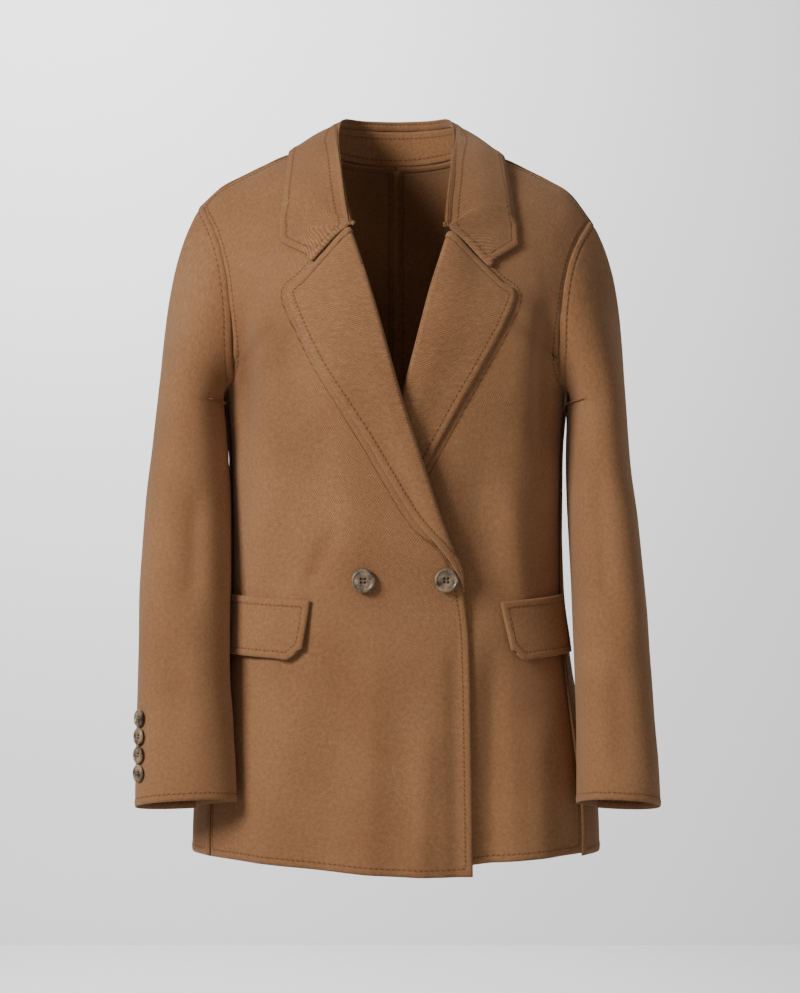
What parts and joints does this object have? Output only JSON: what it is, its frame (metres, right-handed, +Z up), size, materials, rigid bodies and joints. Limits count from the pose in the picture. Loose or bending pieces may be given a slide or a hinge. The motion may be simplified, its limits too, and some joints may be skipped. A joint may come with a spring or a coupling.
{
  "type": "short coat",
  "caption": "Short fitted double-breasted coat in plain camel wool, filled out as worn, with notched lapels, pocket flaps and long sleeves.",
  "frame": {"origin": "on the middle plane between the two points where the shoulder seams meet the neck seam, where a wearer's shoulders carry the coat", "axes": "+Z up, -Y out of the front, +X towards the wearer's left"},
  "size_m": [0.5211, 0.2571, 0.7618],
  "materials": {
    "wool": "matte",
    "horn": "satin"
  },
  "bodies": {
    "root": {"front_right": "wool", "front_left": "wool", "back_right": "wool", "back_left": "wool", "sleeve_right": "wool", "sleeve_left": "wool", "collar_stand": "wool", "collar_fall": "wool", "pocket_flap_right": "wool", "pocket_flap_left": "wool", "back_seam_strip": "wool", "button_front_outer": "horn", "button_front_inner": "horn", "button_cuff_right_1": "horn", "button_cuff_right_2": "horn", "button_cuff_right_3": "horn", "button_cuff_right_4": "horn", "button_cuff_left_1": "horn", "button_cuff_left_2": "horn", "button_cuff_left_3": "horn", "button_cuff_left_4": "horn"}
  },
  "joints": []
}
